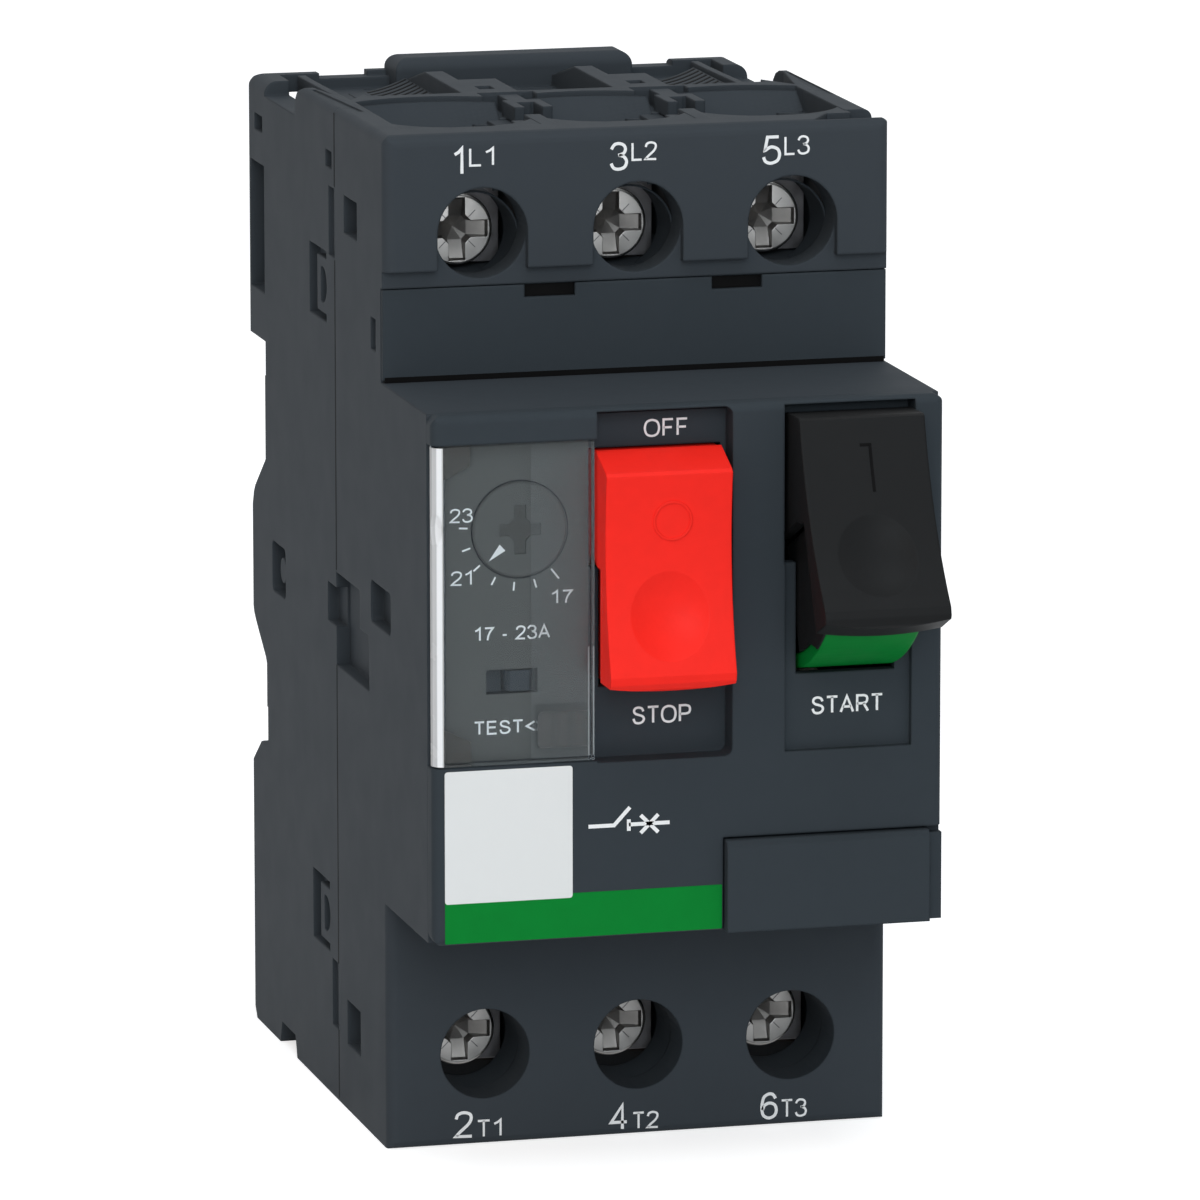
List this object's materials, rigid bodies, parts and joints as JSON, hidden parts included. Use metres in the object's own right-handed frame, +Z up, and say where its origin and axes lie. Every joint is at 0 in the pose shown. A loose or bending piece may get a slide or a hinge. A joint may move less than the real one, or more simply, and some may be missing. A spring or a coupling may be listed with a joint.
{
  "type": "motor protection breaker",
  "caption": "Rail-mounted motor protection breaker with rocker start and stop buttons, a current setting dial under a hinged clear cover, and screw clamp terminals on both ends.",
  "frame": {"origin": "centre of the rail seat: middle of the width, on the plane that rests on the rail, level with the rail's centre line", "axes": "+X to the right seen from the front, the front faces -Y, +Z up"},
  "size_m": [0.045, 0.0808, 0.089],
  "materials": {
    "case_grey": "fine moulded grain",
    "front_slate": "satin moulded",
    "stop_red": "smooth",
    "start_black": "smooth",
    "start_green": "smooth",
    "clear_cover": "clear",
    "dial_grey": "satin moulded",
    "clip_black": "satin moulded",
    "carrier_brown": "thermoset",
    "trip_cream": "satin moulded",
    "zinc_steel": "zinc plated",
    "dark_steel": "oiled",
    "contact_metal": "copper alloy",
    "bimetal_metal": "rolled strip"
  },
  "bodies": {
    "case": {"rear_housing": "case_grey", "front_housing": "case_grey", "front_cover": "front_slate", "aux_contact_cover": "front_slate", "marker_plate": "front_slate", "button_axle": "zinc_steel", "clip_spring": "zinc_steel", "housing_screws": "zinc_steel", "mechanism_frame": "zinc_steel", "line_contact_1": "contact_metal", "load_terminal_1": "contact_metal", "arc_chute_1": "dark_steel", "trip_coil_1": "contact_metal", "trip_yoke_1": "zinc_steel", "bimetal_1": "bimetal_metal", "line_contact_2": "contact_metal", "load_terminal_2": "contact_metal", "arc_chute_2": "dark_steel", "trip_coil_2": "contact_metal", "trip_yoke_2": "zinc_steel", "bimetal_2": "bimetal_metal", "line_contact_3": "contact_metal", "load_terminal_3": "contact_metal", "arc_chute_3": "dark_steel", "trip_coil_3": "contact_metal", "trip_yoke_3": "zinc_steel", "bimetal_3": "bimetal_metal"},
    "start_rocker": {"start_button": "start_green", "start_cap": "start_black"},
    "stop_rocker": {"stop_button": "stop_red"},
    "window": {"dial_window": "clear_cover"},
    "dial": {"setting_dial": "dial_grey"},
    "test": {"test_slider": "dial_grey"},
    "rail_clip": {"din_clip": "clip_black"},
    "carrier": {"contact_carrier": "carrier_brown", "drive_yoke": "zinc_steel", "contact_springs": "zinc_steel", "contact_bridge_1": "contact_metal", "contact_bridge_2": "contact_metal", "contact_bridge_3": "contact_metal"},
    "trip_bar": {"trip_slide": "trip_cream"},
    "trip_arm": {"trip_lever": "trip_cream"},
    "plunger_1": {"trip_plunger_1": "zinc_steel"},
    "plunger_2": {"trip_plunger_2": "zinc_steel"},
    "plunger_3": {"trip_plunger_3": "zinc_steel"},
    "line_clamp_body_1": {"line_clamp_1": "dark_steel"},
    "line_screw_body_1": {"line_screw_1": "zinc_steel"},
    "line_clamp_body_2": {"line_clamp_2": "dark_steel"},
    "line_screw_body_2": {"line_screw_2": "zinc_steel"},
    "line_clamp_body_3": {"line_clamp_3": "dark_steel"},
    "line_screw_body_3": {"line_screw_3": "zinc_steel"},
    "load_clamp_body_1": {"load_clamp_1": "dark_steel"},
    "load_screw_body_1": {"load_screw_1": "zinc_steel"},
    "load_clamp_body_2": {"load_clamp_2": "dark_steel"},
    "load_screw_body_2": {"load_screw_2": "zinc_steel"},
    "load_clamp_body_3": {"load_clamp_3": "dark_steel"},
    "load_screw_body_3": {"load_screw_3": "zinc_steel"}
  },
  "joints": [
    {"name": "start_press", "type": "hinge", "parent": "case", "child": "start_rocker", "pos_m": [0, -0.0568, 0.0194], "axis": [1, 0, 0], "range_deg": [0, 24.1]},
    {"name": "stop_press", "type": "hinge", "parent": "case", "child": "stop_rocker", "pos_m": [0, -0.0568, 0.0194], "axis": [1, 0, 0], "range_deg": [0, 8], "stiffness_Nm_per_rad": 0.01, "springref_deg": -11.46},
    {"name": "window_hinge", "type": "hinge", "parent": "case", "child": "window", "pos_m": [-0.02175, -0.06225, 0.0058], "axis": [0, 0, -1], "range_deg": [0, 100]},
    {"name": "dial_turn", "type": "hinge", "parent": "case", "child": "dial", "pos_m": [-0.0143, -0.061, 0.0118], "axis": [0, -1, 0], "range_deg": [-45, 86]},
    {"name": "test_push", "type": "slide", "parent": "case", "child": "test", "axis": [-1, 0, 0], "range_m": [0, 0.0015], "stiffness_N_per_m": 100, "springref_m": -0.001},
    {"name": "clip_pull", "type": "slide", "parent": "case", "child": "rail_clip", "axis": [0, 0, -1], "range_m": [0, 0.003], "stiffness_N_per_m": 1500, "springref_m": -0.002, "deforming": ["clip_spring"]},
    {"name": "carrier_slide", "type": "slide", "parent": "case", "child": "carrier", "axis": [0, -1, 0], "range_m": [0, 0.00256]},
    {"name": "trip_bar_slide", "type": "slide", "parent": "case", "child": "trip_bar", "axis": [1, 0, 0], "range_m": [0, 0.0014], "stiffness_N_per_m": 100, "springref_m": -0.001},
    {"name": "trip_arm_turn", "type": "hinge", "parent": "case", "child": "trip_arm", "pos_m": [0.0135, -0.051, -0.0052], "axis": [0, -1, 0], "range_deg": [0, 5.2]},
    {"name": "plunger_slide_1", "type": "slide", "parent": "case", "child": "plunger_1", "axis": [0, -1, 0], "range_m": [0, 0.0015], "stiffness_N_per_m": 100, "springref_m": -0.001},
    {"name": "plunger_slide_2", "type": "slide", "parent": "case", "child": "plunger_2", "axis": [0, -1, 0], "range_m": [0, 0.0015], "stiffness_N_per_m": 100, "springref_m": -0.001},
    {"name": "plunger_slide_3", "type": "slide", "parent": "case", "child": "plunger_3", "axis": [0, -1, 0], "range_m": [0, 0.0015], "stiffness_N_per_m": 100, "springref_m": -0.001},
    {"name": "line_clamp_slide_1", "type": "slide", "parent": "case", "child": "line_clamp_body_1", "axis": [0, 1, 0], "range_m": [0, 0.0021]},
    {"name": "line_screw_turn_1", "type": "hinge", "parent": "line_clamp_body_1", "child": "line_screw_body_1", "pos_m": [-0.0138, -0.036, 0.0339], "axis": [0, 1, 0], "range_deg": [0, 1080]},
    {"name": "line_clamp_slide_2", "type": "slide", "parent": "case", "child": "line_clamp_body_2", "axis": [0, 1, 0], "range_m": [0, 0.0021]},
    {"name": "line_screw_turn_2", "type": "hinge", "parent": "line_clamp_body_2", "child": "line_screw_body_2", "pos_m": [0, -0.036, 0.0339], "axis": [0, 1, 0], "range_deg": [0, 1080]},
    {"name": "line_clamp_slide_3", "type": "slide", "parent": "case", "child": "line_clamp_body_3", "axis": [0, 1, 0], "range_m": [0, 0.0021]},
    {"name": "line_screw_turn_3", "type": "hinge", "parent": "line_clamp_body_3", "child": "line_screw_body_3", "pos_m": [0.0138, -0.036, 0.0339], "axis": [0, 1, 0], "range_deg": [0, 1080]},
    {"name": "load_clamp_slide_1", "type": "slide", "parent": "case", "child": "load_clamp_body_1", "axis": [0, 1, 0], "range_m": [0, 0.0021]},
    {"name": "load_screw_turn_1", "type": "hinge", "parent": "load_clamp_body_1", "child": "load_screw_body_1", "pos_m": [-0.0138, -0.036, -0.0373], "axis": [0, 1, 0], "range_deg": [0, 1080]},
    {"name": "load_clamp_slide_2", "type": "slide", "parent": "case", "child": "load_clamp_body_2", "axis": [0, 1, 0], "range_m": [0, 0.0021]},
    {"name": "load_screw_turn_2", "type": "hinge", "parent": "load_clamp_body_2", "child": "load_screw_body_2", "pos_m": [0, -0.036, -0.0373], "axis": [0, 1, 0], "range_deg": [0, 1080]},
    {"name": "load_clamp_slide_3", "type": "slide", "parent": "case", "child": "load_clamp_body_3", "axis": [0, 1, 0], "range_m": [0, 0.0021]},
    {"name": "load_screw_turn_3", "type": "hinge", "parent": "load_clamp_body_3", "child": "load_screw_body_3", "pos_m": [0.0138, -0.036, -0.0373], "axis": [0, 1, 0], "range_deg": [0, 1080]}
  ],
  "couplings": [
    {"joint": "start_press", "follows": "carrier_slide", "rad_per_m": 164.2},
    {"joint": "trip_arm_turn", "follows": "trip_bar_slide", "rad_per_m": 63.7},
    {"joint": "line_screw_turn_1", "follows": "line_clamp_slide_1", "rad_per_m": 8975},
    {"joint": "line_screw_turn_2", "follows": "line_clamp_slide_2", "rad_per_m": 8975},
    {"joint": "line_screw_turn_3", "follows": "line_clamp_slide_3", "rad_per_m": 8975},
    {"joint": "load_screw_turn_1", "follows": "load_clamp_slide_1", "rad_per_m": 8975},
    {"joint": "load_screw_turn_2", "follows": "load_clamp_slide_2", "rad_per_m": 8975},
    {"joint": "load_screw_turn_3", "follows": "load_clamp_slide_3", "rad_per_m": 8975}
  ]
}
